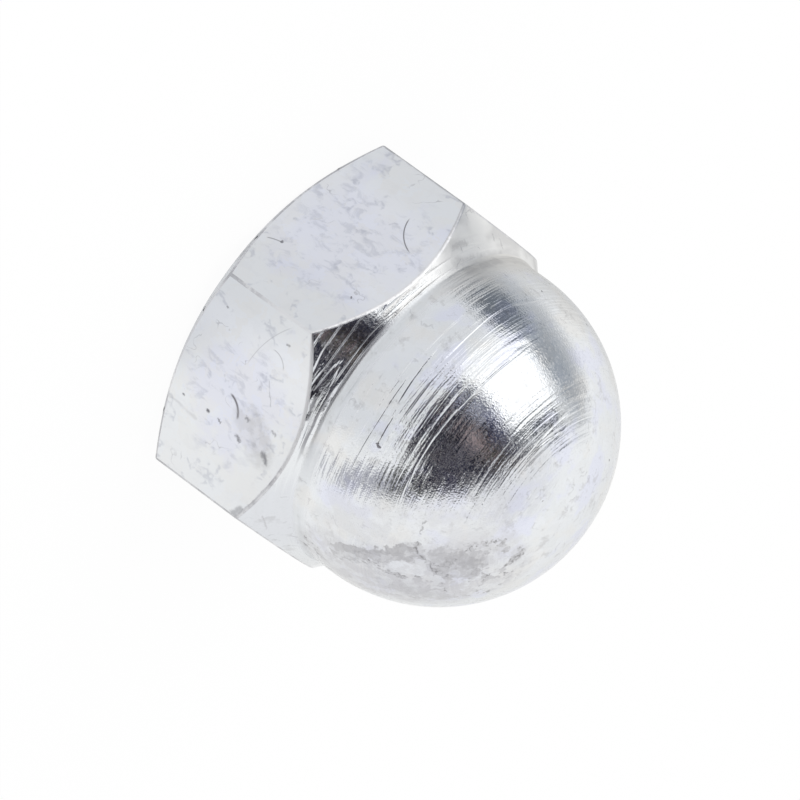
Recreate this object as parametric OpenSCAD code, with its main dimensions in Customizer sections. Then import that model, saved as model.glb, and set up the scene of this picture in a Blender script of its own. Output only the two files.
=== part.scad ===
// Cap nut (acorn nut) for an M8 thread, turned and chamfered from hexagon bar in one piece.
//
// Frame: the origin is the centre of the flat bearing face, and +Z runs along the thread axis
// to the top of the dome. A corner of the hexagon points along -Y, and a flat faces +X.
//
// The whole height follows from the steps of the turned outline, read from the bearing face up:
// bearing chamfer, corner edge, dome chamfer, neck, dome.

/* [Thread] */
// Nominal diameter of the thread
thread_d = 8; // [6:0.1:9.6]
// Pitch of the thread
thread_pitch = 1.25; // [0.75:0.05:1.5]
// Metal left on the axis between the drill point and the top of the dome
crown_wall = 2.2; // [1.2:0.1:4]
// Point angle of the drill that left the bottom of the hole
drill_point_angle = 118; // [90:1:140]
// How far the countersink reaches outside the thread, measured on the radius
countersink_margin = 0.35; // [0.1:0.05:0.9]
// Included angle of the countersink
countersink_angle = 120; // [80:1:130]

/* [Hexagon] */
// Width across the flats
across_flats = 13; // [10.8:0.1:17]
// Length of the hexagon's six corner edges, between the two chamfers
corner_edge_h = 3.7; // [2:0.05:5]
// Step in from a flat to the rim of the bearing face
bearing_face_inset = 0.325; // [0.1:0.005:0.8]
// Angle of the chamfer round the bearing face, measured from that face
bearing_chamfer_angle = 30; // [15:1:40]
// Angle of the chamfer under the dome, measured from the bearing face
dome_chamfer_angle = 45; // [30:1:55]

/* [Neck and dome] */
// Step in from a flat to the side of the neck and dome
dome_inset = 0.39; // [0.2:0.01:1.2]
// Height of the straight neck under the dome
neck_h = 1; // [0.5:0.05:2]
// Radius of the fillet where the neck runs out into the chamfer
neck_fillet_r = 0.3; // [0.1:0.01:0.6]
// Diameter of the small flat at the top of the dome, where the turning ends
tip_flat_d = 0.15; // [0.02:0.01:1]

/* [Hidden] */

// Smoothness of the turned surfaces
$fn = 96;
// Overlap that keeps joined and cut faces from coinciding
eps = 0.5;

// Radii of the outline
corner_r = across_flats / 2 / cos(30);
bearing_face_r = across_flats / 2 - bearing_face_inset;
dome_r = across_flats / 2 - dome_inset;
tip_flat_r = tip_flat_d / 2;

// Heights of the outline above the bearing face
bearing_chamfer_h = (corner_r - bearing_face_r) * tan(bearing_chamfer_angle);
corner_top_z = bearing_chamfer_h + corner_edge_h;
neck_z = corner_top_z + (corner_r - dome_r) * tan(dome_chamfer_angle);
dome_z = neck_z + neck_h;
dome_arc_r = dome_r - tip_flat_r;
nut_h = dome_z + dome_arc_r;

// Fillet in the corner between the neck and the chamfer: its arc touches both
fillet_reach = neck_fillet_r * tan((90 - dome_chamfer_angle) / 2);
fillet_x = dome_r + neck_fillet_r;
fillet_z = neck_z + fillet_reach;
fillet_out_x = dome_r + fillet_reach * cos(dome_chamfer_angle);
fillet_out_z = neck_z - fillet_reach * sin(dome_chamfer_angle);

// Tapped hole, drilled to the minor diameter that the tap needs
tap_drill_r = (thread_d - thread_pitch) / 2;
drill_point_h = tap_drill_r / tan(drill_point_angle / 2);
hole_depth = nut_h - crown_wall - drill_point_h;
countersink_r = thread_d / 2 + countersink_margin;
countersink_h = (countersink_r - tap_drill_r) / tan(countersink_angle / 2);

// Hexagon bar with one corner towards -Y, as tall as the chamfered part of the nut.
module hexagon_bar() {
    rotate([0, 0, 30])
        cylinder(h = neck_z, r = corner_r, $fn = 6);
}

// What the lathe leaves of the bar: both chamfers cut the corners off the hexagon.
// The cones run out past the corners, so that each cuts the flats along a curve.
module chamfer_envelope() {
    outer_r = corner_r + eps;
    outer_low_z = bearing_chamfer_h + eps * tan(bearing_chamfer_angle);
    outer_top_z = corner_top_z - eps * tan(dome_chamfer_angle);
    rotate_extrude()
        polygon([
            [0, 0],
            [bearing_face_r, 0],
            [outer_r, outer_low_z],
            [outer_r, outer_top_z],
            [dome_r, neck_z],
            [0, neck_z]
        ]);
}

// Neck and dome as one turned form: a straight side that runs into a quarter round,
// which ends on the small flat at the top.
module neck_and_dome() {
    rotate_extrude() {
        translate([0, neck_z - eps])
            square([dome_r, neck_h + eps]);
        translate([0, dome_z])
            square([tip_flat_r, dome_arc_r]);
        intersection() {
            translate([tip_flat_r, dome_z])
                circle(r = dome_arc_r);
            translate([tip_flat_r, dome_z])
                square(dome_arc_r);
        }
    }
}

// Metal that fills the corner between the neck and the chamfer, left by the tool's round nose.
module neck_fillet() {
    rotate_extrude()
        difference() {
            polygon([
                [dome_r - eps, neck_z - eps],
                [dome_r, neck_z - eps],
                [fillet_out_x, fillet_out_z],
                [dome_r, fillet_z],
                [dome_r - eps, fillet_z]
            ]);
            translate([fillet_x, fillet_z])
                circle(r = neck_fillet_r);
        }
}

// Blind tapped hole: countersunk mouth, straight wall and the drill's conical bottom.
module tapped_hole() {
    rotate_extrude()
        polygon([
            [0, -eps],
            [countersink_r + eps * tan(countersink_angle / 2), -eps],
            [tap_drill_r, countersink_h],
            [tap_drill_r, hole_depth],
            [0, hole_depth + drill_point_h]
        ]);
}

module cap_nut() {
    color([0.80, 0.82, 0.85])
        difference() {
            union() {
                intersection() {
                    hexagon_bar();
                    chamfer_envelope();
                }
                neck_and_dome();
                neck_fillet();
            }
            tapped_hole();
        }
}

cap_nut();
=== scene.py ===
# %% [markdown]
# # A cap nut, modelled the way it is machined
# A cap nut starts as hexagon bar. A lathe turns the dome, the neck and two chamfers, a drill and
# a tap cut the blind thread, and the finished nut is tumbled and plated with zinc.
# This lesson follows those steps in Blender: spin the turned outline, cut the six flats, break the
# edges, drill, countersink and tap. The plating and its marks come last, as materials.

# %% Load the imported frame
import math

import bpy
from mathutils import Matrix, Vector


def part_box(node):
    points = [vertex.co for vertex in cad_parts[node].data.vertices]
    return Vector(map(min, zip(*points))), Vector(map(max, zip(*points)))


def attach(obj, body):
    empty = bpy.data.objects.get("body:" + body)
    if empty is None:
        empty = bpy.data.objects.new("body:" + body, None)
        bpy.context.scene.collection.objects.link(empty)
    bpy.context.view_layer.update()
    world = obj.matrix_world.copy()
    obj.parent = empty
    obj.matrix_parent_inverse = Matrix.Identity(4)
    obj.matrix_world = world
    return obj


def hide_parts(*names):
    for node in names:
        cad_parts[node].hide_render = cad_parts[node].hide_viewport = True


def in_mm(metres, digits=3):
    """Lengths in metres as rounded millimetres, for printing."""
    return [round(1000 * length, digits) for length in metres]


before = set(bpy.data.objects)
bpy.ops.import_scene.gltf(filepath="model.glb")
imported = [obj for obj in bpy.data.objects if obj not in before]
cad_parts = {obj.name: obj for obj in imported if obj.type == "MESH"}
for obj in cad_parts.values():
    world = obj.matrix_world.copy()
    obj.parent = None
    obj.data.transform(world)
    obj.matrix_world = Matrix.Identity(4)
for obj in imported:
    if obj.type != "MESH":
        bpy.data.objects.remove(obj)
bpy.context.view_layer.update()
cad_low, cad_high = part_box("cap_nut")
print("CAD nut, mm:", in_mm((*cad_low, *cad_high)))

# %% [markdown]
# ## The camera
# The nut stands on its bearing face, dome up. The view is taken from in front of one corner of the
# hexagon, from 24 degrees above, through a long lens, and the camera is rolled until the thread
# axis runs down to the right. A camera could be pointed with a constraint, but here its rotation is
# worked out from the aim point and the roll, because a baked rotation stays put in every view.

# %% Place the camera
AIM = Vector((0.00009, -0.00049, 0.00532))
CAMERA_DISTANCE = 0.26922
CAMERA_AZIMUTH = math.radians(-90.325)
CAMERA_ELEVATION = math.radians(24.119)
CAMERA_ROLL = math.radians(126.19)
LENS_MM = 360
SENSOR_MM = 36


def direction(azimuth, elevation):
    """Unit vector that points from the nut towards an azimuth and an elevation, in radians."""
    flat = math.cos(elevation)
    return Vector((flat * math.cos(azimuth), flat * math.sin(azimuth), math.sin(elevation)))


def look_at(place, target, roll=0.0):
    """Matrix for a camera or lamp at place that looks at target, rolled about its own axis."""
    turn = (target - place).to_track_quat("-Z", "Y").to_matrix().to_4x4()
    return Matrix.Translation(place) @ turn @ Matrix.Rotation(roll, 4, "Z")


bpy.ops.object.camera_add()
camera = bpy.context.object
camera.name = "long_lens_camera"
camera.data.lens = LENS_MM
camera.data.sensor_width = SENSOR_MM
camera.data.clip_start = 0.001
camera.matrix_world = look_at(
    AIM + CAMERA_DISTANCE * direction(CAMERA_AZIMUTH, CAMERA_ELEVATION), AIM, CAMERA_ROLL
)
bpy.context.scene.camera = camera
print("camera at, mm:", in_mm(camera.location, 1))

# %% [markdown]
# ## The sizes
# The width across the flats and the height come from the CAD frame. The steps of the outline are
# the drawing's own sizes, in millimetres. Everything is modelled 1000 times too large, one unit to
# a millimetre, because several edit-mode tools stop being exact below a thousandth of a unit, and
# the finished mesh is shrunk to metres at the end.

# %% Name the sizes, in millimetres
MM = 0.001
across_flats = (cad_high.x - cad_low.x) / MM
nut_h = cad_high.z / MM
corner_edge_h = 3.7
bearing_face_inset = 0.325
dome_inset = 0.39
neck_h = 1.0
neck_fillet_r = 0.3
tip_flat_r = 0.075
bearing_chamfer = math.radians(30)
dome_chamfer = math.radians(45)

flat_r = across_flats / 2
corner_r = flat_r / math.cos(math.radians(30))
bearing_face_r = flat_r - bearing_face_inset
dome_r = flat_r - dome_inset
corner_low_z = (corner_r - bearing_face_r) * math.tan(bearing_chamfer)
corner_top_z = corner_low_z + corner_edge_h
neck_z = corner_top_z + (corner_r - dome_r) * math.tan(dome_chamfer)
dome_z = neck_z + neck_h
dome_arc_r = dome_r - tip_flat_r
print("height from the outline:", round(dome_z + dome_arc_r, 3), "from the frame:", round(nut_h, 3))

# %% [markdown]
# ## The turned outline
# On the lathe the tool follows half of the nut's outline. The same outline is drawn here with a
# pen: one vertex, pushed along straight stretches by extrude and round the curves by spin.
# A curve object could hold the outline too, but the pen leaves exactly the points that are wanted.


# %% Helpers: a pen that draws with extrude and spin
def start_piece(name, point):
    """A new mesh object with one selected vertex at point, left in edit mode."""
    bpy.ops.object.select_all(action="DESELECT")
    bpy.ops.mesh.primitive_plane_add(size=1, location=point)
    piece = bpy.context.object
    piece.name = name
    bpy.ops.object.transform_apply(location=True, rotation=True, scale=True)
    bpy.ops.object.mode_set(mode="EDIT")
    bpy.ops.mesh.select_all(action="SELECT")
    bpy.ops.mesh.merge(type="CENTER")
    return piece


def pen_place():
    """Where the selected vertex is."""
    mesh = bpy.context.object.data
    bpy.context.object.update_from_editmode()
    return next(v.co.copy() for v in mesh.vertices if v.select)


def line_to(x, z, steps=1):
    """Extrude the pen's vertex in straight steps to (x, z)."""
    move = (Vector((x, 0, z)) - pen_place()) / steps
    for _ in range(steps):
        bpy.ops.mesh.extrude_vertices_move(TRANSFORM_OT_translate={"value": move})


def arc_round(center_x, center_z, angle, steps):
    """Spin the pen's vertex about a centre, in degrees; plus turns from +X towards +Z."""
    bpy.ops.mesh.spin(
        steps=steps, angle=math.radians(angle), center=(center_x, 0, center_z), axis=(0, 1, 0)
    )


# %% Draw the outline
outer_r = corner_r + 0.5
fillet_reach = neck_fillet_r * math.tan((math.pi / 2 - dome_chamfer) / 2)
fillet_start = Vector((dome_r + fillet_reach * math.sin(dome_chamfer),
                       neck_z - fillet_reach * math.cos(dome_chamfer)))

nut = start_piece("cap_nut_body", (0, 0, 0))
line_to(bearing_face_r, 0, 3)
line_to(outer_r, (outer_r - bearing_face_r) * math.tan(bearing_chamfer), 3)
line_to(outer_r, neck_z - (outer_r - dome_r) * math.tan(dome_chamfer))
line_to(fillet_start.x, fillet_start.y, 3)
arc_round(dome_r + neck_fillet_r, neck_z + fillet_reach, -math.degrees(dome_chamfer), 6)
line_to(dome_r, dome_z, 3)
arc_round(tip_flat_r, dome_z, 90, 48)
line_to(0, dome_z + dome_arc_r)
nut.update_from_editmode()
print("outline points:", len(nut.data.vertices), "ends at", [round(v, 3) for v in pen_place()])

# %% [markdown]
# ## Spin the blank and cut the flats
# The blank is the outline spun once round the thread axis. Its wall stands out past the hexagon's
# corners, so that six straight cuts leave what the mill of the bar leaves: flats that end in
# curved edges where they meet the two chamfers. A boolean with a hexagon would do this too, but
# bisect closes each flat with one clean face.

# %% Helpers: weld, face outward, spin and cut
BLANK_STEPS = 192
HOLE_STEPS = 96
WELD = 0.0005
CUT_WELD = 0.002


def weld(distance=WELD):
    """Merge all vertices that lie within distance of each other."""
    bpy.ops.mesh.select_all(action="SELECT")
    bpy.ops.mesh.remove_doubles(threshold=distance)


def face_outward():
    """Turn all faces outward."""
    bpy.ops.mesh.select_all(action="SELECT")
    bpy.ops.mesh.normals_make_consistent(inside=False)


def spin_solid(steps):
    """Spin the drawn outline once round the thread axis and close it into a solid."""
    bpy.ops.mesh.select_all(action="SELECT")
    bpy.ops.mesh.spin(steps=steps, angle=math.tau, center=(0, 0, 0), axis=(0, 0, 1), use_auto_merge=True)
    weld()
    face_outward()


def cut_off(point, outward):
    """Cut away all beyond the plane through point and close the cut with a face."""
    bpy.ops.mesh.select_all(action="SELECT")
    bpy.ops.mesh.bisect(plane_co=point, plane_no=outward, use_fill=True, clear_outer=True)


# %% Spin the blank
spin_solid(BLANK_STEPS)
nut.update_from_editmode()
print("blank:", len(nut.data.polygons), "faces")

# %% Cut the six flats
for side in range(6):
    outward = direction(math.radians(60 * side), 0)
    cut_off(flat_r * outward, outward)
weld(CUT_WELD)
bpy.ops.mesh.dissolve_degenerate(threshold=CUT_WELD)
face_outward()
nut.update_from_editmode()
print("after six cuts:", len(nut.data.polygons), "faces, size", [round(v, 3) for v in nut.dimensions])

# %% [markdown]
# ## Break the edges
# Tumbling takes the burr off every sharp edge, and the plating rounds it a little more. A narrow
# bevel of three segments does the same. Only the edges that turn by more than 20 degrees are
# picked: the corners, the curved rims of the flats and the rim of the bearing face. The cell also
# notes on each face which way of working made it, for the materials.

# %% Bevel the sharp edges
EDGE_BREAK = 0.07
SHARP_TURN = math.radians(20)
LARGE_FACE = 10
TURNED, CHAMFER, DRAWN, BROKEN, TAPPED = range(5)
bpy.ops.mesh.select_all(action="DESELECT")
bpy.ops.mesh.select_mode(type="EDGE")
bpy.ops.mesh.edges_select_sharp(sharpness=SHARP_TURN)
nut.update_from_editmode()
print("sharp edges:", sum(edge.select for edge in nut.data.edges))
bpy.ops.mesh.bevel(
    offset=EDGE_BREAK, offset_type="OFFSET", segments=3, profile=0.5,
    affect="EDGES", clamp_overlap=False, miter_outer="SHARP",
)
bpy.ops.object.mode_set(mode="OBJECT")
for face in nut.data.polygons:
    is_flat = abs(face.normal.z) < 0.01 and face.area > LARGE_FACE
    is_chamfer = face.center.xy.length > bearing_face_r and face.center.z < neck_z
    face.material_index = TURNED
    if is_chamfer:
        face.material_index = CHAMFER
    if face.select:
        face.material_index = BROKEN
    if is_flat:
        face.material_index = DRAWN
bpy.ops.object.mode_set(mode="EDIT")
bpy.ops.mesh.select_mode(type="VERT")
face_outward()
bpy.ops.object.mode_set(mode="OBJECT")
finish_of_face = [face.material_index for face in nut.data.polygons]
print("with broken edges:", len(finish_of_face), "faces, of them",
      finish_of_face.count(DRAWN), "flats and", finish_of_face.count(BROKEN), "on the edges")

# %% [markdown]
# ## Drill, countersink and tap
# The hole is blind: it ends inside the dome in the cone that a drill leaves. A tap then cuts an
# M8 thread of 1.25 mm pitch. Here the drill and countersink are one turned solid, and the tap is a
# solid screw whose outline of one pitch climbs round the axis with the Screw modifier. Both are
# taken out of the nut with exact booleans, so the thread is real geometry and not a picture.

# %% Make the drill with its countersink
thread_pitch = 1.25
thread_r = 4.0
drill_r = 3.375
countersink_r = 4.35
countersink_slope = math.tan(math.radians(60))
countersink_h = (countersink_r - drill_r) / countersink_slope
hole_depth = 8.671
hole_top_z = hole_depth + drill_r / math.tan(math.radians(59))
below = 0.5

drill = start_piece("drill_and_countersink", (0, 0, -below))
line_to(countersink_r + below * countersink_slope, -below)
line_to(drill_r, countersink_h)
line_to(drill_r, hole_depth)
line_to(0, hole_top_z)
spin_solid(HOLE_STEPS)
bpy.ops.object.mode_set(mode="OBJECT")
print("drill:", len(drill.data.polygons), "faces, point at", round(hole_top_z, 2))

# %% Make the tap
tap_core_r = drill_r - 0.05
flank_h = (thread_r - tap_core_r) * math.tan(math.radians(30))
root_h = thread_pitch / 8
crest_h = thread_pitch - 2 * flank_h - root_h
tap_low_z = -2.0
tapped_to_z = 7.6
tap_turns = 8

tap = start_piece("tap", (tap_core_r, 0, tap_low_z))
line_to(tap_core_r, tap_low_z + crest_h)
line_to(thread_r, tap_low_z + crest_h + flank_h)
line_to(thread_r, tap_low_z + crest_h + flank_h + root_h)
line_to(tap_core_r, tap_low_z + thread_pitch)
bpy.ops.object.mode_set(mode="OBJECT")
climb = tap.modifiers.new("climb", "SCREW")
climb.axis = "Z"
climb.angle = math.tau
climb.screw_offset = thread_pitch
climb.iterations = tap_turns
climb.steps = HOLE_STEPS
climb.render_steps = HOLE_STEPS
climb.use_merge_vertices = True
climb.merge_threshold = WELD
bpy.ops.object.modifier_apply(modifier=climb.name)
bpy.ops.object.mode_set(mode="EDIT")
weld()
cut_off((0, 0, -below), (0, 0, -1))
cut_off((0, 0, tapped_to_z), (0, 0, 1))
face_outward()
bpy.ops.object.mode_set(mode="OBJECT")
print("tap:", len(tap.data.polygons), "faces, turns", round((tapped_to_z + below) / thread_pitch, 1))


# %% Cut the hole and the thread
def take_out(piece, tool):
    """Subtract tool from piece with an exact boolean, then remove the tool."""
    bpy.ops.object.select_all(action="DESELECT")
    bpy.context.view_layer.objects.active = piece
    piece.select_set(True)
    cut = piece.modifiers.new("cut", "BOOLEAN")
    cut.operation = "DIFFERENCE"
    cut.solver = "EXACT"
    cut.object = tool
    bpy.ops.object.modifier_apply(modifier=cut.name)
    bpy.data.objects.remove(tool)


take_out(nut, drill)
take_out(nut, tap)
print("drilled and tapped:", len(nut.data.polygons), "faces")

# %% Clean the cut, shrink to metres and set the shading
# The faces of the hole are those nearer to the axis than the countersink's rim, above the bearing
# face and below the drill's point.
SMOOTH_TURN = math.radians(28)
RIM_MARGIN = 0.02
bpy.ops.object.mode_set(mode="EDIT")
weld()
bpy.ops.object.mode_set(mode="OBJECT")
for face in nut.data.polygons:
    near_axis = face.center.xy.length < countersink_r - RIM_MARGIN
    if near_axis and 0.001 < face.center.z < hole_top_z:
        face.material_index = TAPPED
bpy.ops.transform.resize(value=(MM, MM, MM), center_override=(0, 0, 0))
bpy.ops.object.transform_apply(location=True, rotation=True, scale=True)
bpy.ops.object.shade_smooth_by_angle(angle=SMOOTH_TURN)
settle = nut.modifiers.new("settle_normals", "WEIGHTED_NORMAL")
settle.keep_sharp = True
bpy.ops.object.modifier_apply(modifier=settle.name)
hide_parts("cap_nut")
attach(nut, "root")
print("nut, mm:", in_mm(nut.dimensions), len(nut.data.polygons), "faces")

# %% [markdown]
# ## Zinc plating, from shared node groups
# Bright zinc is a bluish white metal. What makes it look real is its surface: fine rings from the
# lathe, crystal patches that each tilt the reflection a little, an uneven blue and cream tint,
# hairline cracks, specks, and rubbed edges. Each of these is a node group that is built once, and
# each material mixes them in its own amounts. All these groups take a place in millimetres.
# The helpers below add nodes and wire them. They find the node tree from the sockets that they are
# given, so that a formula reads like a formula.


# %% Helpers: add nodes and wire them
def add(kind, inputs, **settings):
    """Add a node beside those that feed it; inputs maps its sockets to their outputs or to values."""
    tree = next(value.id_data for value in inputs.values() if isinstance(value, bpy.types.NodeSocket))
    item = tree.nodes.new(kind)
    for name, value in settings.items():
        setattr(item, name, value)
    for key, value in inputs.items():
        if isinstance(value, bpy.types.NodeSocket):
            tree.links.new(value, item.inputs[key])
        else:
            item.inputs[key].default_value = value
    return item


def link(start, end):
    """Wire one node's output to another node's input."""
    start.id_data.links.new(start, end)


def split(place):
    """The X, Y and Z of a place."""
    return add("ShaderNodeSeparateXYZ", {0: place}).outputs


def join(x, y, z):
    """A place from its X, Y and Z."""
    return add("ShaderNodeCombineXYZ", {0: x, 1: y, 2: z}).outputs[0]


def noise(place, scale=1.0, detail=3.0, roughness=0.5, distortion=0.0):
    """Add a Noise Texture and return its outputs."""
    inputs = {"Vector": place, "Scale": scale, "Detail": detail, "Roughness": roughness,
              "Distortion": distortion}
    return add("ShaderNodeTexNoise", inputs).outputs


def cells_of(place):
    """Add a Voronoi texture of cells one unit wide and return its outputs."""
    return add("ShaderNodeTexVoronoi", {"Vector": place, "Scale": 1.0}).outputs


def mapped(place, scale):
    """A place scaled by its own factor along each axis."""
    return add("ShaderNodeMapping", {"Vector": place, "Scale": scale}).outputs[0]


def mix_colour(factor, first, second):
    """Mix two colours by factor and return the result."""
    return add("ShaderNodeMix", {0: factor, 6: first, 7: second}, data_type="RGBA").outputs[2]


def mix_shaders(factor, first, second):
    """Mix the shaders that two nodes give out."""
    return add("ShaderNodeMixShader", {0: factor, 1: first.outputs[0], 2: second.outputs[0]})


# %% Helpers: sums with numbers
def maths(operation, first, second=0.0, third=0.0, clamp=False):
    """Add a Math node and return its output."""
    inputs = {0: first, 1: second, 2: third}
    return add("ShaderNodeMath", inputs, operation=operation, use_clamp=clamp).outputs[0]


def times(first, second):
    """Multiply two numbers."""
    return maths("MULTIPLY", first, second)


def minus(first, second):
    """Subtract second from first."""
    return maths("SUBTRACT", first, second)


def total(*values):
    """Add up several numbers."""
    result = values[0]
    for value in values[1:]:
        result = maths("ADD", result, value)
    return result


def larger(first, second):
    """The larger of two numbers."""
    return maths("MAXIMUM", first, second)


def between(factor, first, second):
    """Go from first towards second by factor."""
    return maths("MULTIPLY_ADD", factor, minus(second, first), first)


def ramp(value, low, high, at_low=0.0, at_high=1.0):
    """Map value from low..high to at_low..at_high with soft ends."""
    inputs = {"Value": value, "From Min": low, "From Max": high, "To Min": at_low, "To Max": at_high}
    item = add("ShaderNodeMapRange", inputs, interpolation_type="SMOOTHSTEP")
    return item.outputs["Result"]


def fade(value, low, high, start=1.0):
    """Fall from start to 0 as value grows from low to high."""
    return ramp(value, low, high, start, 0.0)


def band(value, rise_from, rise_to, fall_from, fall_to, top=1.0):
    """Rise from 0 and fall back to 0 as value grows."""
    return times(ramp(value, rise_from, rise_to), fade(value, fall_from, fall_to, top))


def contour(value, width):
    """A thin line wherever value crosses a half."""
    return fade(maths("ABSOLUTE", minus(value, 0.5)), 0.0, width)


def kept_where(value, share, edge, start=0.85, span=0.7):
    """1 where value is high, and in more of the places when share is larger."""
    limit = minus(start, times(share, span))
    return ramp(value, limit, total(limit, edge))


# %% Helpers: sums with places
MIDDLE_GREY = (0.5, 0.5, 0.5)


def vector(operation, first, second=(0, 0, 0), third=(0, 0, 0)):
    """Add a Vector Math node and return its vector, or the number if it measures one."""
    item = add("ShaderNodeVectorMath", {0: first, 1: second, 2: third}, operation=operation)
    is_number = operation in ("DOT_PRODUCT", "DISTANCE")
    return item.outputs["Value" if is_number else "Vector"]


def scaled(place, factor):
    """Scale a place by a number."""
    inputs = {0: place, "Scale": factor}
    return add("ShaderNodeVectorMath", inputs, operation="SCALE").outputs[0]


def shrunk(place, size):
    """A place measured in units of size."""
    return scaled(place, maths("DIVIDE", 1.0, size))


def pushed_about(place, colour, reach):
    """Push a place about by a noise's colour."""
    centred = vector("SUBTRACT", colour, MIDDLE_GREY)
    return vector("ADD", place, scaled(centred, reach))


def square_from_axis(axes):
    """The squared distance from the thread axis."""
    return total(times(axes["X"], axes["X"]), times(axes["Y"], axes["Y"]))


# %% Helpers: make and place node groups
def new_group(name, inputs, outputs, kind="Float"):
    """A node group that takes a Place and the inputs {name: default}, and gives the outputs."""
    tree = bpy.data.node_groups.new(name, "ShaderNodeTree")
    tree.interface.new_socket("Place", in_out="INPUT", socket_type="NodeSocketVector")
    for key, default in inputs.items():
        takes = "NodeSocketVector" if isinstance(default, tuple) else "NodeSocketFloat"
        socket = tree.interface.new_socket(key, in_out="INPUT", socket_type=takes)
        socket.default_value = default
    for key in outputs:
        tree.interface.new_socket(key, in_out="OUTPUT", socket_type="NodeSocket" + kind)
    start = tree.nodes.new("NodeGroupInput")
    end = tree.nodes.new("NodeGroupOutput")
    return start.outputs, end.inputs


def give_out(out, **results):
    """Wire the results to the group's outputs and print how many nodes it took."""
    for key, result in results.items():
        link(result, out[key])
    tree = out[0].id_data
    print("group", tree.name, "has", len(tree.nodes), "nodes")


def group_node(name, place, **values):
    """Place a node group, feed it a place, and set or link its other inputs."""
    group = bpy.data.node_groups[name]
    return add("ShaderNodeGroup", {"Place": place, **values}, node_tree=group).outputs


# %% [markdown]
# ### Rings from the lathe
# A turning tool leaves fine rings round the axis. Noise makes them if it is stretched: slow round
# the nut and quick along the outline. The way along the outline is an angle about the dome's
# centre, which grows steadily over dome, neck, chamfers and bearing face, so one formula serves
# the whole nut and there is no seam and no pinched pole. The rings are weak at the pole, where the
# tool hardly moved, and on the shoulder of the dome, which tumbling has polished.

# %% Group: the way along the turned outline
SHOULDER = [math.radians(turn) for turn in (42, 50, 58, 66)]
given, out = new_group("along_outline", {}, ("Along", "Cut"))
axes = split(given["Place"])
turn_r = maths("SQRT", square_from_axis(axes))
angle = maths("ARCTAN2", turn_r, minus(axes["Z"], dome_z))
shoulder = band(angle, *SHOULDER)
cut_depth = minus(ramp(turn_r, 1.5, 4.0, 0.15, 1.0), times(shoulder, 0.45))
give_out(out, Along=times(angle, dome_arc_r), Cut=cut_depth)


def stretched_place(given, along):
    """Coordinates for a noise that is slow round the nut and quick along its outline."""
    axes = split(given["Place"])
    return join(maths("DIVIDE", axes["X"], given["Streak"]),
                maths("DIVIDE", axes["Y"], given["Streak"]),
                maths("DIVIDE", along, given["Pitch"]))


# %% Group: fine rings
# Shallow waves of many widths, one beside the other.
given, out = new_group("fine_rings", {"Pitch": 0.2, "Streak": 4.0, "Depth": 0.02}, ("Height", "Tone"))
turned = group_node("along_outline", given["Place"])
stretched = stretched_place(given, turned["Along"])
rings = noise(stretched, detail=2.5, roughness=0.6)["Fac"]
level = times(minus(rings, 0.5), turned["Cut"])
give_out(out, Height=times(level, given["Depth"]), Tone=rings)

# %% Group: scored lines
# A few deeper scores: the contour lines of the stretched noise, kept where a slow noise allows.
given, out = new_group(
    "scored_lines", {"Pitch": 0.4, "Streak": 5.0, "Width": 0.06, "Depth": 0.004, "Share": 0.5},
    ("Height",),
)
turned = group_node("along_outline", given["Place"])
stretched = stretched_place(given, turned["Along"])
score = contour(noise(stretched, detail=1.0)["Fac"], given["Width"])
elsewhere = vector("ADD", stretched, (31.0, 17.0, 5.0))
kept = kept_where(noise(elsewhere, 0.9, 0.0)["Fac"], given["Share"], 0.1)
lines = times(times(score, kept), turned["Cut"])
give_out(out, Height=times(lines, times(given["Depth"], -1.0)))

# %% [markdown]
# ### Orange peel and crystal patches
# Plating is never quite smooth. A small round noise gives the orange peel that breaks a mirror
# image into grains. On a larger scale zinc grows in patches, and each patch faces a slightly
# different way, so each mirrors another bit of the room. A Voronoi texture gives every cell a
# random colour and a centre: taken as a slope, the colour tips the cell like a small tile.

# %% Group: orange peel
given, out = new_group("orange_peel", {"Size": 0.12, "Depth": 0.006}, ("Height",))
peel = noise(shrunk(given["Place"], given["Size"]), detail=1.0)["Fac"]
give_out(out, Height=times(minus(peel, 0.5), given["Depth"]))

# %% Group: crystal patches
given, out = new_group("crystal_patches", {"Size": 0.5, "Ragged": 0.6, "Tilt": 0.05}, ("Height", "Tone"))
place = shrunk(given["Place"], given["Size"])
wander = noise(place, 1.7, 3.0, 0.65)["Color"]
ragged = pushed_about(place, wander, given["Ragged"])
cells = cells_of(ragged)
slope = vector("SUBTRACT", cells["Color"], MIDDLE_GREY)
offset = vector("SUBTRACT", ragged, cells["Position"])
rise = times(vector("DOT_PRODUCT", slope, offset), given["Size"])
tone = add("ShaderNodeSeparateColor", {0: cells["Color"]}).outputs["Red"]
give_out(out, Height=times(rise, given["Tilt"]), Tone=tone)

# %% [markdown]
# ### Hairlines and specks
# Hairlines wander like cracks in varnish; the wide ones look like the marks of worms. They are
# the contour lines of a noise, kept only where a second noise allows, so that they start and stop.
# Specks are the middles of a few Voronoi cells, picked by the cell's random colour.

# %% Group: hairlines
given, out = new_group("hairlines", {"Size": 1.0, "Width": 0.01, "Share": 0.4, "Crinkle": 0.5}, ("Lines",))
place = shrunk(given["Place"], given["Size"])
slow = noise(place, roughness=given["Crinkle"])["Fac"]
thin = contour(slow, given["Width"])
elsewhere = vector("ADD", place, (7.3, 2.9, 5.1))
kept = kept_where(noise(elsewhere, 1.6, 1.0)["Fac"], given["Share"], 0.08)
give_out(out, Lines=times(thin, kept))

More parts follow.
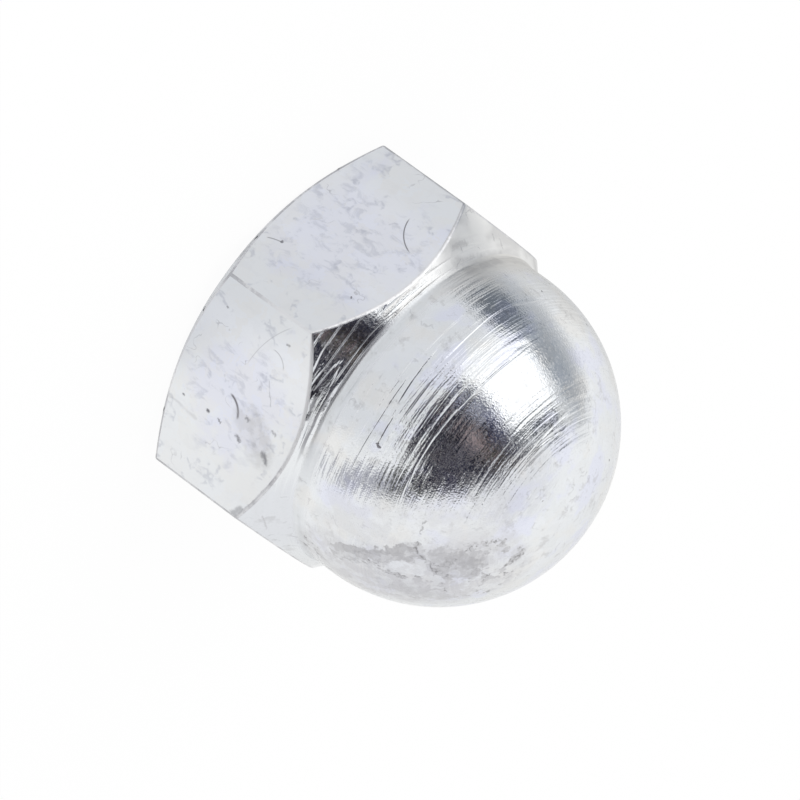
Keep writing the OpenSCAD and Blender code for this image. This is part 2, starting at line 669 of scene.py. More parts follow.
# %% Group: specks
given, out = new_group("specks", {"Spacing": 0.6, "Size": 0.12, "Share": 0.2}, ("Dots",))
place = shrunk(given["Place"], given["Spacing"])
wander = noise(place, 6.0, 1.0)["Color"]
cells = cells_of(vector("MULTIPLY_ADD", wander, (0.25, 0.25, 0.25), place))
draw = add("ShaderNodeSeparateColor", {0: cells["Color"]}).outputs
radius = times(given["Size"], total(draw["Green"], 0.3))
dot = fade(cells["Distance"], times(radius, 0.6), radius)
picked = maths("LESS_THAN", draw["Red"], given["Share"])
give_out(out, Dots=times(dot, picked))

# %% [markdown]
# ### Haze
# Plating isn't equally smooth all over. Its fine rough grains scatter light into what the smooth
# metal mirrors dark, so a dark reflection looks mottled. Haze is a group that mixes two roughnesses.

# %% Group: haze
given, out = new_group("haze", {"Size": 0.2, "Smooth": 0.1, "Rough": 0.35, "Share": 0.5}, ("Roughness",))
grains = noise(shrunk(given["Place"], given["Size"]), roughness=0.6)["Fac"]
hazy = kept_where(grains, given["Share"], 0.2, 0.6, 0.4)
give_out(out, Roughness=between(hazy, given["Smooth"], given["Rough"]))

# %% [markdown]
# ### Marks of its own
# A used nut also has marks that belong to one spot: a curved scratch on a flat, a nick, a grey stain. A
# scratch is part of a circle: near its radius from one point and within reach of another. A stain is all
# that lies near a short line, and noise pushes its rim about and breaks up the inside of a large one. The
# same group also lays patches of painted shade and painted reflection.

# %% Group: how far from the middle of a flat
given, out = new_group("flat_middle", {}, ("Away",))
axes = split(given["Place"])
sideways = larger(minus(square_from_axis(axes), flat_r * flat_r), 0.0)
above = minus(axes["Z"], 0.6 * corner_top_z)
give_out(out, Away=maths("SQRT", total(sideways, times(above, above))))

# %% Group: one curved scratch
given, out = new_group(
    "curved_scratch",
    {"Bend": (0, 0, 0), "Radius": 1.0, "Middle": (0, 0, 0), "Reach": 0.6, "Width": 0.04}, ("Line",)
)
to_bend = vector("DISTANCE", given["Place"], given["Bend"])
to_middle = vector("DISTANCE", given["Place"], given["Middle"])
off_line = maths("ABSOLUTE", minus(to_bend, given["Radius"]))
line = fade(off_line, 0.0, given["Width"])
ends = fade(to_middle, times(given["Reach"], 0.7), given["Reach"])
give_out(out, Line=times(line, ends))

# %% Group: one stain, also a patch of painted shade
given, out = new_group(
    "stain_and_painted_shade",
    {"From": (0, 0, 0), "To": (0, 0, 0.1), "Reach": 0.6, "Ragged": 0.5, "Grain": 0.3, "Soft": 0.2},
    ("Share",),
)
wander = noise(shrunk(given["Place"], given["Grain"]), roughness=0.6)
moved = pushed_about(given["Place"], wander["Color"], times(given["Ragged"], 4.0))
run = vector("SUBTRACT", given["To"], given["From"])
away = vector("SUBTRACT", moved, given["From"])
along = maths("DIVIDE", vector("DOT_PRODUCT", away, run),
              vector("DOT_PRODUCT", run, run), clamp=True)
off_line = vector("DISTANCE", away, scaled(run, along))
solid = fade(off_line, minus(given["Reach"], given["Soft"]), given["Reach"])
thinnest = ramp(given["Reach"], 0.2, 0.4, 1.0, 0.4)
broken = ramp(wander["Fac"], 0.42, 0.56, thinnest, 1.0)
give_out(out, Share=times(solid, broken))

# %% [markdown]
# ### The materials
# Bare metal has no colour under its shine: Metallic is 1 and Base Color is the tint of the mirror.
# The marks only darken or tint it, and the heights go to one Bump node whose distance is one
# millimetre. Specular Tint below 1 keeps the rim of the dome from going pure white.

# %% Helpers: build a metal material
RIM_TINT = (0.85, 0.85, 0.85, 1)


def start_metal(name, roughness):
    """A Principled metal and its place in millimetres, from Object coordinates."""
    material = bpy.data.materials.new(name)
    material.use_nodes = True
    tree = material.node_tree
    surface = tree.nodes["Principled BSDF"]
    surface.inputs["Metallic"].default_value = 1.0
    surface.inputs["Roughness"].default_value = roughness
    surface.inputs["Specular Tint"].default_value = RIM_TINT
    coordinates = tree.nodes.new("ShaderNodeTexCoord")
    place = mapped(coordinates.outputs["Object"], (1000, 1000, 1000))
    return material, surface, place


def apply_height(surface, height):
    """Feed a height in millimetres to the normal."""
    bump = add("ShaderNodeBump", {"Height": height, "Distance": MM, "Strength": 1.0})
    link(bump.outputs["Normal"], surface.inputs["Normal"])


def tint(colour, mask, amount, other):
    """Mix colour towards other by mask times amount."""
    return mix_colour(times(mask, amount), colour, other)


def lay_tints(colour, tints):
    """Tint colour in turn by rows of a mask, an amount and another colour."""
    for mask, amount, other in tints:
        colour = tint(colour, mask, amount, other)
    return colour


def lay_marks(place, colour, marks):
    """Tint colour by stains and by patches of painted shade and reflection: two ends, reach, ragged, grain
    and soft of the rim, strength, colour.
    """
    for start, end, reach, ragged, grain, soft, strength, mark_colour in marks:
        mark = group_node("stain_and_painted_shade", place, From=start, To=end, Reach=reach,
                          Ragged=ragged, Grain=grain, Soft=soft)
        colour = tint(colour, mark["Share"], strength, mark_colour)
    return colour


def finish_metal(material, surface, colour):
    """Feed the finished colour to the metal and print how many nodes it took."""
    link(colour, surface.inputs["Base Color"])
    print("material", material.name, "has", len(material.node_tree.nodes), "nodes")


# %% Name the colours
ZINC_PALE = (0.80, 0.82, 0.845, 1)
ZINC_BLUE = (0.745, 0.765, 0.87, 1)
# A lighter zinc for the painted sheen on the flats.
SHEEN_ZINC = (0.89, 0.905, 0.965, 1)
ZINC_GREY = (0.70, 0.715, 0.715, 1)
ZINC_CREAM = (0.80, 0.785, 0.755, 1)
GREY_LINE = (0.36, 0.36, 0.38, 1)
BLUE_LINE = (0.36, 0.38, 0.46, 1)
DULL_GREY = (0.46, 0.455, 0.46, 1)
RUBBED_PALE = (0.92, 0.91, 0.89, 1)
WARM_GREY = (0.58, 0.565, 0.55, 1)
# A dark for real stains on the flats and for painted dark reflection on the chamfer.
DARK_STAIN_AND_REFLECTION = (0.20, 0.20, 0.22, 1)
DARK_SPECK = (0.07, 0.06, 0.07, 1)
# The three greys below paint the nut's shadow mirrored in the side of the dome: painted reflection.
MIRRORED_SHADOW_SOFT = (0.62, 0.62, 0.64, 1)
MIRRORED_SHADOW_MID = (0.52, 0.52, 0.535, 1)
MIRRORED_SHADOW_DARK = (0.36, 0.355, 0.365, 1)
WORN_CRACK = (0.20, 0.195, 0.20, 1)
# The two edge colours below: light, and dark for a painted dark reflection along the edges.
EDGE_LIGHT = (0.82, 0.82, 0.83, 1)
EDGE_REFLECTION_DARK = (0.48, 0.48, 0.50, 1)

# %% Turned zinc: dome, neck and bearing face
# The dome is smooth with grains of haze. Towards -X the neck is rubbed dull and creamy.
TURNED_RUBBED_ROUGHNESS = 0.36
turned_zinc, surface, place = start_metal("turned_zinc", 0.11)
axes = split(place)
dull_foot = fade(axes["Z"], 6.1, 6.7, 0.38)
haze = group_node(
    "haze", place, Size=0.11, Share=0.38,
    Smooth=larger(dull_foot, ramp(axes["Z"], 7.0, 8.6, 0.13, 0.05)),
    Rough=larger(dull_foot, ramp(axes["Z"], 7.0, 8.6, 0.16, 0.27)))
rubbed_side = times(fade(axes["X"], -5.0, -3.0), fade(axes["Z"], 6.3, 7.3))
roughness = between(rubbed_side, haze["Roughness"], TURNED_RUBBED_ROUGHNESS)
link(roughness, surface.inputs["Roughness"])
rings = group_node("fine_rings", place, Pitch=0.20, Streak=4.0, Depth=0.036)
scores = group_node("scored_lines", place, Pitch=0.5, Streak=6.0, Width=0.06,
                    Depth=0.011, Share=0.45)
peel = group_node("orange_peel", place, Size=0.06, Depth=0.0055)
patches = group_node("crystal_patches", place, Size=0.5, Ragged=0.9)
worms = group_node("hairlines", place, Size=0.8, Width=0.03, Share=0.4, Crinkle=0.5)
dots = group_node("specks", place, Spacing=0.8, Size=0.10, Share=0.12)
smears = group_node("fine_rings", place, Pitch=0.3, Streak=3.0)
smeared = times(rubbed_side, ramp(smears["Tone"], 0.42, 0.6))
cloud = noise(place, 0.6, 3.0, 0.6)["Fac"]
dulled = noise(place, 1.7, 4.0, 0.7)["Fac"]
apply_height(surface, total(rings["Height"], scores["Height"], peel["Height"]))
colour = lay_tints(ZINC_PALE, (
    (patches["Tone"], 0.35, ZINC_GREY),
    (ramp(cloud, 0.5, 0.62), ramp(axes["Z"], 6.4, 7.0, 0.0, 0.8), ZINC_BLUE),
    (fade(cloud, 0.34, 0.48), 0.5, ZINC_CREAM),
    (ramp(dulled, 0.55, 0.7), 0.4, DULL_GREY),
    (rubbed_side, 0.8, ZINC_CREAM),
    (smeared, 0.15, DULL_GREY),
    (worms["Lines"], 0.3, GREY_LINE),
    (dots["Dots"], 0.8, DARK_SPECK),
))

# %% The mirrored shadow on one side of the dome
# Painted reflection: on one side the dome is greyed in ragged strips, a painted stand-in for the nut's own
# shadow mirrored in the dome, with dark cracks through it. A wide patch says where, a stretched noise says
# how much, and a veil of painted shade dims what lies about it.
mirrored_shadow = group_node("stain_and_painted_shade", place, From=(5.5, -1.7, 7.6), To=(3.0, -1.5, 11.7),
                  Reach=2.1, Ragged=0.15, Grain=0.5, Soft=0.7)["Share"]
strip = group_node("stain_and_painted_shade", place, From=(5.3, -2.75, 8.0), To=(3.8, -3.3, 10.2),
                   Reach=0.5, Ragged=0.12, Grain=0.3, Soft=0.25)["Share"]
island = group_node("stain_and_painted_shade", place, From=(4.53, -2.72, 9.9), To=(4.2, -2.5, 10.45),
                    Reach=0.42, Ragged=0.1, Grain=0.3, Soft=0.15)["Share"]
veil = group_node("stain_and_painted_shade", place, From=(4.4, -3.9, 8.4), To=(2.2, -3.6, 11.4),
                  Reach=2.2, Ragged=0.35, Grain=0.9, Soft=1.4)["Share"]
shadow_mottle = noise(mapped(place, (1.5, 1.5, 0.7)), 1.0, 5.0, 0.68)["Fac"]
shadow_mottle = total(shadow_mottle, times(mirrored_shadow, 0.5), times(strip, 0.1), times(island, -0.3))
cracks = group_node("hairlines", place, Size=0.7, Width=0.03, Share=0.7, Crinkle=0.65)
cracked = times(cracks["Lines"], ramp(shadow_mottle, 0.97, 1.02))
colour = lay_tints(colour, (
    (veil, 0.45, MIRRORED_SHADOW_SOFT),
    (mirrored_shadow, 0.7, MIRRORED_SHADOW_SOFT),
    (ramp(shadow_mottle, 1.0, 1.03), 0.7, MIRRORED_SHADOW_MID),
    (ramp(shadow_mottle, 1.08, 1.14), 0.6, MIRRORED_SHADOW_DARK),
    (cracked, 0.7, WORN_CRACK),
))
colour = lay_marks(place, colour, (
    # Painted reflection: the grey marks below shape the mirrored shadow on the dome, and the pale one
    # keeps a gap in it. Dark cracks and a speck follow.
    ((5.8, -1.55, 7.94), (4.41, -0.95, 10.89), 1.3, 0.15, 0.5, 0.5, 0.75, MIRRORED_SHADOW_SOFT),
    ((5.3, -1.67, 9.36), (4.56, -0.72, 10.82), 0.55, 0.2, 0.4, 0.3, 0.6, MIRRORED_SHADOW_MID),
    ((5.35, -2.75, 7.75), (3.83, -3.3, 10.21), 0.45, 0.2, 0.3, 0.08, 0.9, MIRRORED_SHADOW_MID),
    ((5.1, -3.1, 8.1), (3.95, -3.45, 10.0), 0.22, 0.2, 0.3, 0.06, 0.4, MIRRORED_SHADOW_DARK),
    ((3.39, -3.01, 10.91), (2.8, -2.1, 11.8), 0.40, 0.2, 0.3, 0.08, 0.8, MIRRORED_SHADOW_MID),
    ((3.77, -2.6, 10.75), (3.3, -1.6, 11.6), 0.38, 0.2, 0.3, 0.08, 0.7, MIRRORED_SHADOW_MID),
    ((3.15, -2.74, 11.27), (3.03, -1.96, 11.73), 0.30, 0.25, 0.2, 0.1, 0.4, MIRRORED_SHADOW_DARK),
    ((4.55, -2.75, 9.8), (4.3, -2.5, 10.3), 0.36, 0.12, 0.3, 0.12, 0.85, ZINC_PALE),
    ((2.78, -4.19, 10.29), (3.76, -3.42, 10.22), 0.05, 0.10, 0.3, 0.05, 0.6, WORN_CRACK),
    ((3.76, -3.42, 10.22), (3.93, -2.34, 10.87), 0.08, 0.12, 0.3, 0.07, 0.7, WORN_CRACK),
    ((4.07, -1.89, 10.96), (4.35, -0.89, 11.01), 0.05, 0.10, 0.3, 0.05, 0.7, WORN_CRACK),
    ((1.66, -5.78, 7.95), (1.72, -5.76, 8.07), 0.075, 0.05, 0.1, 0.04, 0.85, DARK_SPECK),
    # Painted shade: a grey mark on the neck towards -X, in the fillet where the chamfer meets it.
    ((-4.75, -3.85, 6.1), (-5.6, -2.43, 6.15), 0.35, 0.08, 0.4, 0.3, 0.4, DULL_GREY),
))
finish_metal(turned_zinc, surface, colour)

# %% Chamfer zinc: both chamfers, cut with a coarser tool
# The rings are deep and clear in the middle, and flattened where the two sides are rubbed.
CHAMFER_RUBBED_ROUGHNESS = 0.35
chamfer_zinc, surface, place = start_metal("chamfer_zinc", 0.17)
axes = split(place)
rubbed_side = fade(axes["X"], -5.0, -2.5)
haze = group_node("haze", place, Size=0.13, Smooth=0.05, Rough=0.26, Share=0.36)
roughness = between(rubbed_side, haze["Roughness"], CHAMFER_RUBBED_ROUGHNESS)
link(roughness, surface.inputs["Roughness"])
rings = group_node("fine_rings", place, Pitch=0.11, Streak=3.0, Depth=0.024)
scores = group_node("scored_lines", place, Pitch=0.17, Streak=4.0, Width=0.07,
                    Depth=0.018, Share=1.0)
peel = group_node("orange_peel", place, Size=0.06, Depth=0.0045)
worms = group_node("hairlines", place, Size=0.8, Width=0.02, Share=0.35, Crinkle=0.45)
smears = group_node("fine_rings", place, Pitch=0.5, Streak=2.0)
smeared = times(rubbed_side, ramp(smears["Tone"], 0.4, 0.62))
cloud = noise(place, 1.3, 3.0, 0.65)["Fac"]
cuts = total(rings["Height"], scores["Height"], peel["Height"])
flattened = larger(times(rubbed_side, 0.85), ramp(axes["X"], 2.4, 3.6, 0.0, 0.75))
apply_height(surface, times(cuts, minus(1.0, flattened)))
colour = lay_tints(ZINC_PALE, (
    (rings["Tone"], 0.5, ZINC_GREY),
    (rubbed_side, 0.7, RUBBED_PALE),
    (smeared, 0.4, DULL_GREY),
    (ramp(cloud, 0.55, 0.68), maths("MULTIPLY_ADD", rubbed_side, -0.2, 0.3), DULL_GREY),
))

# %% Painted dark reflection on the front of the chamfer
# Painted reflection: the dark patch that the front of the chamfer mirrors is carried further in colour,
# grained by the rings, and a dark stroke lies beside it towards -X. A warm grey band lies further towards
# -X.
front = fade(axes["Y"], -4.6, -3.6)
painted_dark_reflection = times(times(band(axes["X"], 0.4, 1.4, 2.8, 4.0), front), ramp(rings["Tone"], 0.46, 0.56))
streak = times(band(axes["X"], -1.9, -1.5, -0.8, -0.3), front)
warm_grey_band = times(times(band(axes["X"], -4.0, -3.4, -2.2, -1.7), front), ramp(rings["Tone"], 0.4, 0.6))
colour = lay_tints(colour, (
    (painted_dark_reflection, 0.8, DARK_STAIN_AND_REFLECTION),
    (streak, 0.75, DARK_STAIN_AND_REFLECTION),
    (warm_grey_band, 0.6, WARM_GREY),
    (worms["Lines"], 0.4, GREY_LINE),
))
colour = lay_marks(place, colour, (
    ((-5.05, -4.3, 5.3), (-5.45, -3.75, 5.36), 0.16, 0.10, 0.2, 0.14, 0.5, DULL_GREY),
    ((-4.7, -4.2, 5.67), (-5.85, -1.95, 5.9), 0.30, 0.10, 0.4, 0.28, 0.5, DULL_GREY),
    ((-6.24, -2.36, 5.31), (-6.09, -2.27, 5.48), 0.06, 0.05, 0.1, 0.06, 0.6, DULL_GREY),
    ((-6.25, -1.94, 5.4), (-6.05, -1.79, 5.66), 0.06, 0.05, 0.1, 0.06, 0.6, DULL_GREY),
    ((5.89, -3.48, 5.1), (6.2, -2.81, 5.2), 0.06, 0.04, 0.2, 0.06, 0.45, DULL_GREY),
    ((5.05, -3.5, 6.0), (6.03, -0.95, 5.87), 0.05, 0.05, 0.4, 0.05, 0.3, DULL_GREY),
    # Painted reflection: the three dark strokes below carry the mirrored dark patch on as a tail.
    ((1.45, -6.42, 5.4), (2.38, -6.03, 5.5), 0.13, 0.05, 0.2, 0.12, 0.85, DARK_STAIN_AND_REFLECTION),
    ((1.35, -6.03, 5.8), (2.23, -5.68, 5.88), 0.09, 0.05, 0.2, 0.08, 0.85, DARK_STAIN_AND_REFLECTION),
    ((2.23, -5.68, 5.88), (3.1, -5.22, 5.9), 0.06, 0.05, 0.2, 0.06, 0.7, DARK_STAIN_AND_REFLECTION),
))
finish_metal(chamfer_zinc, surface, colour)

# %% Drawn zinc: the six flats
# The flats are dull, lilac in the middle and pale at the rim, with veins and a few specks, and painted
# lighter on two bands as a painted sheen.
drawn_zinc, surface, place = start_metal("drawn_zinc", 0.3)
axes = split(place)
middle = group_node("flat_middle", place)
patches = group_node("crystal_patches", place, Size=0.6, Ragged=1.6)
peel = group_node("orange_peel", place, Size=0.3, Depth=0.007)
veins = group_node("hairlines", place, Size=1.2, Width=0.05, Share=0.45, Crinkle=0.6)
hairs = group_node("hairlines", place, Size=1.6, Width=0.006, Share=0.4, Crinkle=0.55)
dots = group_node("specks", place, Spacing=0.86, Size=0.09, Share=0.10)
cloud = noise(place, 0.5, 4.0, 0.6)["Fac"]
bruise = noise(mapped(place, (2.6, 2.6, 1.5)), 1.0, 4.0, 0.65, 0.5)["Fac"]
apply_height(surface, peel["Height"])
reach = total(middle["Away"], times(cloud, 12.0))
# Painted sheen: two bands across X, over the middle of one flat and by the corner of the next, are painted
# lighter.
painted_sheen = larger(band(axes["X"], -5.8, -4.6, -2.4, -1.0), band(axes["X"], 0.4, 1.2, 1.4, 3.2, 0.7))
colour = lay_tints(ZINC_PALE, (
    (fade(reach, 6.6, 9.0), 0.85, ZINC_BLUE),
    (painted_sheen, 0.5, SHEEN_ZINC),
    (patches["Tone"], 0.35, ZINC_CREAM),
    (ramp(bruise, 0.5, 0.66), ramp(reach, 7.2, 9.2, 0.28, 0.04), BLUE_LINE),
    (times(veins["Lines"], ramp(bruise, 0.4, 0.55)), 0.35, BLUE_LINE),
    (hairs["Lines"], 0.5, GREY_LINE),
    (dots["Dots"], 0.7, DARK_SPECK),
))

# %% Scratches, nicks and stains on the flats
# Each scratch: the point it bends round, its radius, its middle, its reach, its width, its
# strength and its colour.
SCRATCHES = (
    ((-5.25, -4.47, 4.96), 1.43, (-4.45, -4.94, 3.95), 0.8, 0.035, 0.85, DARK_SPECK),
    ((-0.41, -7.27, 1.44), 1.70, (-1.80, -6.465, 0.87), 0.3, 0.035, 0.6, DARK_SPECK),
    ((3.84, -5.29, 2.36), 0.75, (3.42, -5.53, 2.9), 0.5, 0.075, 0.85, DARK_SPECK),
    ((1.69, -6.53, 3.44), 0.60, (1.26, -6.78, 3.78), 0.45, 0.035, 0.6, GREY_LINE),
    ((2.7, -5.95, 6.81), 4.2, (1.1, -6.85, 3.1), 1.3, 0.03, 0.4, GREY_LINE),
)
for bend, radius, middle_place, reach, width, strength, line_colour in SCRATCHES:
    scratch = group_node("curved_scratch", place, Bend=bend, Radius=radius,
                         Middle=middle_place, Reach=reach, Width=width)
    colour = tint(colour, scratch["Line"], strength, line_colour)

colour = lay_marks(place, colour, (
    ((3.6, -5.42, 3.5), (4.25, -5.05, 4.4), 0.70, 0.14, 0.5, 0.3, 0.35, DULL_GREY),
    ((3.4, -5.54, 3.9), (4.1, -5.13, 4.3), 0.50, 0.14, 0.4, 0.3, 0.3, DULL_GREY),
    ((4.98, -4.63, 5.17), (5.85, -4.13, 4.82), 0.10, 0.04, 0.15, 0.08, 0.6, DARK_STAIN_AND_REFLECTION),
    ((5.85, -4.13, 4.82), (6.45, -3.78, 4.5), 0.12, 0.05, 0.15, 0.1, 0.75, DARK_STAIN_AND_REFLECTION),
    ((6.4, -3.81, 4.3), (6.15, -3.95, 4.5), 0.18, 0.06, 0.2, 0.15, 0.5, DARK_STAIN_AND_REFLECTION),
    ((4.49, -4.92, 0.33), (4.57, -4.87, 1.67), 0.10, 0.05, 0.5, 0.1, 0.2, DARK_STAIN_AND_REFLECTION),
    ((2.11, -6.28, 3.7), (2.77, -5.91, 4.09), 0.035, 0.03, 0.3, 0.03, 0.35, DARK_STAIN_AND_REFLECTION),
    ((4.24, -5.06, 3.33), (4.3, -5.02, 3.48), 0.13, 0.06, 0.1, 0.13, 0.8, DARK_STAIN_AND_REFLECTION),
    ((4.2, -5.08, 4.5), (4.34, -5.0, 4.7), 0.19, 0.08, 0.15, 0.18, 0.8, DARK_STAIN_AND_REFLECTION),
    ((3.54, -5.46, 3.42), (3.58, -5.43, 3.5), 0.12, 0.06, 0.1, 0.12, 0.7, DARK_STAIN_AND_REFLECTION),
    ((3.4, -5.54, 4.52), (3.45, -5.51, 4.66), 0.10, 0.06, 0.1, 0.1, 0.6, DARK_STAIN_AND_REFLECTION),
    ((-1.88, -6.42, 1.1), (-1.88, -6.42, 1.14), 0.07, 0.03, 0.1, 0.05, 0.9, DARK_STAIN_AND_REFLECTION),
    ((4.12, -5.12, 1.94), (4.13, -5.12, 1.98), 0.09, 0.03, 0.06, 0.07, 1.0, DARK_STAIN_AND_REFLECTION),
    ((4.14, -5.11, 2.45), (4.2, -5.08, 2.56), 0.07, 0.05, 0.06, 0.07, 0.9, DARK_STAIN_AND_REFLECTION),
    ((4.17, -5.1, 0.84), (4.17, -5.1, 0.88), 0.06, 0.03, 0.06, 0.05, 0.9, DARK_STAIN_AND_REFLECTION),
    ((0.94, -6.97, 1.16), (0.94, -6.97, 1.2), 0.06, 0.03, 0.06, 0.05, 0.7, DARK_STAIN_AND_REFLECTION),
    ((0.77, -7.06, 3.78), (0.77, -7.06, 3.9), 0.06, 0.03, 0.06, 0.05, 0.6, DARK_STAIN_AND_REFLECTION),
))
finish_metal(drawn_zinc, surface, colour)

# %% Rubbed zinc: the broken edges
# The edges are painted darker towards +X, towards the bearing face and at the -X corner, broken by a
# noise, as a painted dark reflection, and are lighter and rougher on the stretch between.
EDGE_ROUGHNESS = 0.28
STRETCH_ROUGHER = 0.35
rubbed_zinc, surface, place = start_metal("rubbed_zinc", EDGE_ROUGHNESS)
axes = split(place)
grain = group_node("crystal_patches", place, Size=0.3, Ragged=0.8, Tilt=0.06)
cloud = noise(place, 1.6, 4.0, 0.7)["Fac"]
apply_height(surface, grain["Height"])
# Painted reflection: the darker edges stand in for the darker things that the bevels mirror.
edge_dark_reflection = larger(ramp(axes["X"], 1.5, 4.5), fade(axes["Z"], 1.2, 3.2))
edge_dark_reflection = larger(edge_dark_reflection, fade(axes["X"], -5.2, -4.4, 0.6))
at_least = maths("MINIMUM", ramp(axes["X"], 4.2, 5.0, 0.15, 0.6), ramp(axes["Y"], -3.6, -2.4, 0.6, 0.15))
edge_dark_reflection = times(edge_dark_reflection, ramp(cloud, 0.4, 0.55, at_least, 1.0))
lighter_stretch = band(axes["X"], 0.0, 0.6, 3.6, 4.6)
edge_dark_reflection = times(edge_dark_reflection, minus(1.0, lighter_stretch))
roughness = maths("MULTIPLY_ADD", lighter_stretch, STRETCH_ROUGHER, EDGE_ROUGHNESS)
link(roughness, surface.inputs["Roughness"])
colour = mix_colour(edge_dark_reflection, EDGE_LIGHT, EDGE_REFLECTION_DARK)
colour = tint(colour, grain["Tone"], 0.3, ZINC_PALE)
finish_metal(rubbed_zinc, surface, colour)

# %% Tapped zinc: the hole and its thread
tapped_zinc, surface, place = start_metal("tapped_zinc", 0.35)
grain = group_node("crystal_patches", place, Size=0.18, Ragged=1.2, Tilt=0.05)
apply_height(surface, grain["Height"])
colour = tint(ZINC_GREY, grain["Tone"], 0.35, DULL_GREY)
finish_metal(tapped_zinc, surface, colour)

# %% Give each face its material
finish_of_face = [face.material_index for face in nut.data.polygons]
nut.data.materials.clear()
for material in (turned_zinc, chamfer_zinc, drawn_zinc, rubbed_zinc, tapped_zinc):
    nut.data.materials.append(material)
for face, finish in zip(nut.data.polygons, finish_of_face):
    face.material_index = finish
print("slots:", [slot.name for slot in nut.material_slots])

# %% [markdown]
# ## Floor and light
# The floor is white and keeps a faint shadow, and the room is white all round. Shiny metal shows
# what stands around it, so the look of the nut is made by what it mirrors: a dark patch where the
# camera and its owner stand, a grey frame round the bright soft box, and a grey corner beside it.
# Cards could be hung up for this. Here the room itself is painted by direction, in one group that
# the world and the floor share, because soft edges are then one number.

# %% Group: a soft patch of the room
# Its place is a direction: X is degrees round from the lens, Y is degrees up. Slant leans the
# upright sides and Climb tips the level sides, in degrees per degree.
given, out = new_group(
    "room_patch",
    {"Left": -10.0, "Right": 10.0, "Low": 0.0, "High": 10.0, "Slant": 0.0, "Climb": 0.0, "Soft": 4.0},
    ("Share",),
)
compass = split(given["Place"])
middle_up = times(total(given["Low"], given["High"]), 0.5)
middle_around = times(total(given["Left"], given["Right"]), 0.5)
lean = times(minus(compass["Y"], middle_up), given["Slant"])
rise = times(minus(compass["X"], middle_around), given["Climb"])
around = minus(compass["X"], lean)
up = minus(compass["Y"], rise)
share = 1.0
for value, limit, shape in (
    (around, given["Left"], ramp), (around, given["Right"], fade),
    (up, given["Low"], ramp), (up, given["High"], fade),
):
    low = minus(limit, given["Soft"])
    high = total(limit, given["Soft"])
    share = times(shape(value, low, high), share)
give_out(out, Share=share)

# %% Group: the room that the metal mirrors
# Each row: degrees left and right of the lens, degrees low and high, slant, climb, softness,
# colour. DARK_ROOM stands for the mottled dark where the camera and its owner are.
DARK_ROOM = None
WHITE_WALL = (1.05, 1.05, 1.045, 1)
ROOM_PATCHES = (
    (-200, 200, 66, 100, 0.0, 0.0, 6, (0.92, 0.92, 0.94, 1)),
    (-78, 34, -60, 4, 0.0, 0.0, 9, (0.83, 0.84, 0.86, 1)),
    (-165, -110, -60, -8, 0.0, 0.0, 9, (0.83, 0.83, 0.825, 1)),
    (-114, -85, -60, 44, -0.4, 0.0, 8, (0.56, 0.575, 0.595, 1)),
    (-108, -82, -14, 34, -0.5, 0.0, 6, (0.40, 0.43, 0.475, 1)),
    (-95, -72, -18, 2, -0.4, 0.0, 4, (0.13, 0.15, 0.18, 1)),
    (-112, -42, 54, 68, 0.0, 0.3, 4, (0.11, 0.12, 0.135, 1)),
    (-92, -38, 13, 52, -0.4, 0.15, 8, (1.45, 1.45, 1.45, 1)),
    (-66, -37, 22, 54, -0.1, 0.0, 5, (1.45, 1.45, 1.45, 1)),
    (46, 60, -16, 16, -0.4, 0.0, 4, (0.42, 0.42, 0.47, 1)),
    (50, 60, 8, 20, 0.0, 0.0, 4, (0.2, 0.2, 0.22, 1)),
    (36, 55, 12, 29, -0.3, 0.0, 3, (0.11, 0.11, 0.105, 1)),
    (22, 38, 55, 68, 0.0, 0.0, 4, (0.2, 0.2, 0.22, 1)),
    (-50, 29, 58, 76, 0.0, 0.0, 4, DARK_ROOM),
    (-34, 26, 13, 66, -0.1, 0.0, 3, DARK_ROOM),
    (0, 49, 26, 58, -0.25, 0.0, 4, DARK_ROOM),
    (-12, 6, 8, 16, 0.0, 0.0, 4, (0.2, 0.2, 0.24, 1)),
    (-39, -29, 22, 66, -0.1, 0.0, 5, (0.06, 0.068, 0.115, 1)),
    (-13, -6, 39, 57, 0.0, 0.0, 6, (0.45, 0.35, 0.34, 1)),
    (-31, -21, 27, 42, 0.0, 0.0, 4, (0.44, 0.45, 0.52, 1)),
    (95, 142, -5, 45, 0.0, 0.0, 9, (0.95, 0.95, 0.965, 1)),
    (-22, 0, 63, 71, 0.0, 0.0, 6, (0.10, 0.085, 0.06, 1)),
)
given, out = new_group("mirrored_room", {}, ("Colour",), "Color")
axes = split(given["Place"])
level = maths("SQRT", square_from_axis(axes))
around = maths("DEGREES", maths("ARCTAN2", axes["X"], times(axes["Y"], -1.0)))
up = maths("DEGREES", maths("ARCTAN2", axes["Z"], level))
compass = join(around, up, 0.0)
clutter = noise(vector("NORMALIZE", given["Place"]), 9.0, 3.0, 0.7)["Fac"]
dark_room = mix_colour(ramp(clutter, 0.44, 0.5), (0.002, 0.003, 0.003, 1), (0.03, 0.032, 0.058, 1))
dark_room = mix_colour(ramp(clutter, 0.54, 0.62), dark_room, (0.42, 0.38, 0.38, 1))
colour = WHITE_WALL
for left, right, low, high, slant, climb, soft, patch_colour in ROOM_PATCHES:
    patch = group_node("room_patch", compass, Left=left, Right=right, Low=low, High=high,
                       Slant=slant, Climb=climb, Soft=soft)
    colour = mix_colour(patch["Share"], colour, patch_colour or dark_room)
give_out(out, Colour=colour)

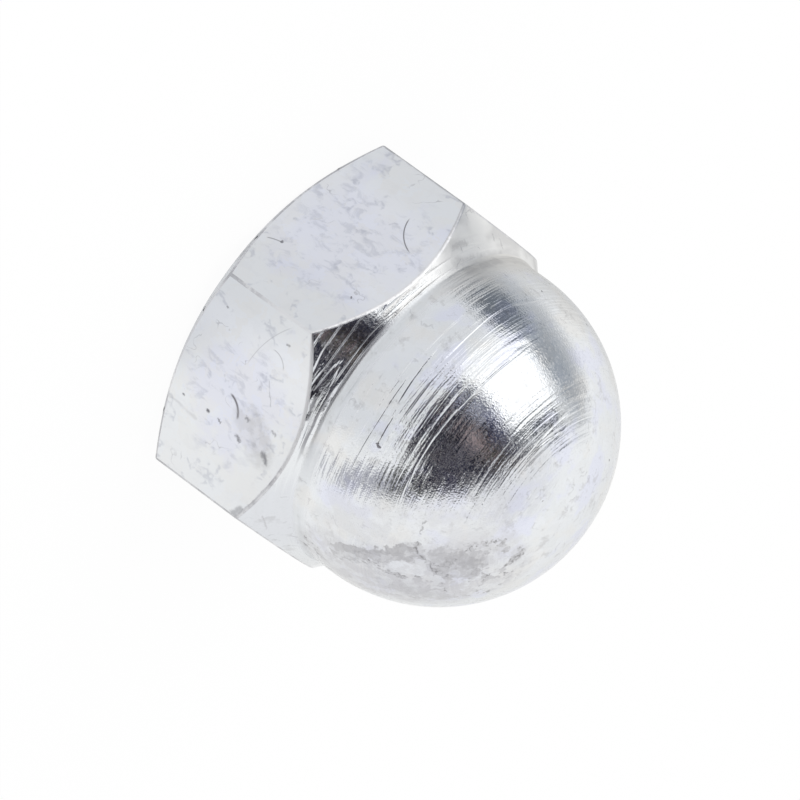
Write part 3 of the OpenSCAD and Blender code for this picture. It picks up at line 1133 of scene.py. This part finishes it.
# %% Make the floor
# White paper that glows where a ray looks at it, so that it is as white as the room, and that
# keeps its own shade only in diffuse light. A mirrored ray meets the painted room instead, as
# seen from the middle of the dome.
PAPER_WHITE = 0.9
PAPER_GLOW = 0.95
DOME_MIDDLE = (0, 0, 0.007)
bpy.ops.object.select_all(action="DESELECT")
bpy.ops.mesh.primitive_plane_add(size=3, location=(0, 0, 0))
floor = bpy.context.object
floor.name = "floor"
floor_paper = bpy.data.materials.new("white_paper")
floor_paper.use_nodes = True
tree = floor_paper.node_tree
paper = tree.nodes["Principled BSDF"]
paper.inputs["Base Color"].default_value = (PAPER_WHITE, PAPER_WHITE, PAPER_WHITE, 1)
paper.inputs["Roughness"].default_value = 0.9
paper.inputs["Specular IOR Level"].default_value = 0.0
coordinates = tree.nodes.new("ShaderNodeTexCoord")
from_dome = vector("SUBTRACT", coordinates.outputs["Object"], DOME_MIDDLE)
room = group_node("mirrored_room", from_dome)
rays = tree.nodes.new("ShaderNodeLightPath").outputs
white_glow = tree.nodes.new("ShaderNodeEmission")
white_glow.inputs["Color"].default_value = (1, 1, 1, 1)
white_glow.inputs["Strength"].default_value = 1.0
room_glow = add("ShaderNodeEmission", {"Color": room["Colour"], "Strength": 1.0})
glow = mix_shaders(rays["Is Glossy Ray"], white_glow, room_glow)
seen = larger(rays["Is Camera Ray"], larger(rays["Is Glossy Ray"], rays["Is Transmission Ray"]))
both = mix_shaders(times(seen, PAPER_GLOW), paper, glow)
link(both.outputs[0], tree.nodes["Material Output"].inputs["Surface"])
floor.data.materials.append(floor_paper)
print("floor:", [round(v, 2) for v in floor.dimensions], "m")

# %% Paint the room
scene = bpy.context.scene
scene.world = bpy.data.worlds.new("white_room")
scene.world.use_nodes = True
tree = scene.world.node_tree
coordinates = tree.nodes.new("ShaderNodeTexCoord")
room = group_node("mirrored_room", coordinates.outputs["Generated"])
rays = tree.nodes.new("ShaderNodeLightPath").outputs
white_sky = tree.nodes["Background"]
white_sky.inputs["Color"].default_value = (1, 1, 1, 1)
white_sky.inputs["Strength"].default_value = 1.0
room_sky = add("ShaderNodeBackground", {"Color": room["Colour"], "Strength": 1.0})
sky = mix_shaders(rays["Is Glossy Ray"], white_sky, room_sky)
link(sky.outputs[0], tree.nodes["World Output"].inputs["Surface"])
scene.view_settings.view_transform = "Standard"
print("world", scene.world.name, "has", len(tree.nodes), "nodes")

# %% Hang the soft box
SOFT_BOX_SIZE = 0.28
SOFT_BOX_POWER = 0.3
SOFT_BOX_DISTANCE = 0.34
lamp_place = SOFT_BOX_DISTANCE * direction(math.radians(-154), math.radians(28))
bpy.ops.object.light_add(type="AREA")
lamp = bpy.context.object
lamp.name = "soft_box"
lamp.data.shape = "RECTANGLE"
lamp.data.size = SOFT_BOX_SIZE
lamp.data.size_y = SOFT_BOX_SIZE
lamp.data.energy = SOFT_BOX_POWER
lamp.visible_glossy = False
lamp.matrix_world = look_at(lamp_place, Vector((0, 0, 0.006)))
print("soft box shines at", round(SOFT_BOX_POWER / (math.pi * SOFT_BOX_SIZE ** 2), 2),
      "watts per square metre and steradian")
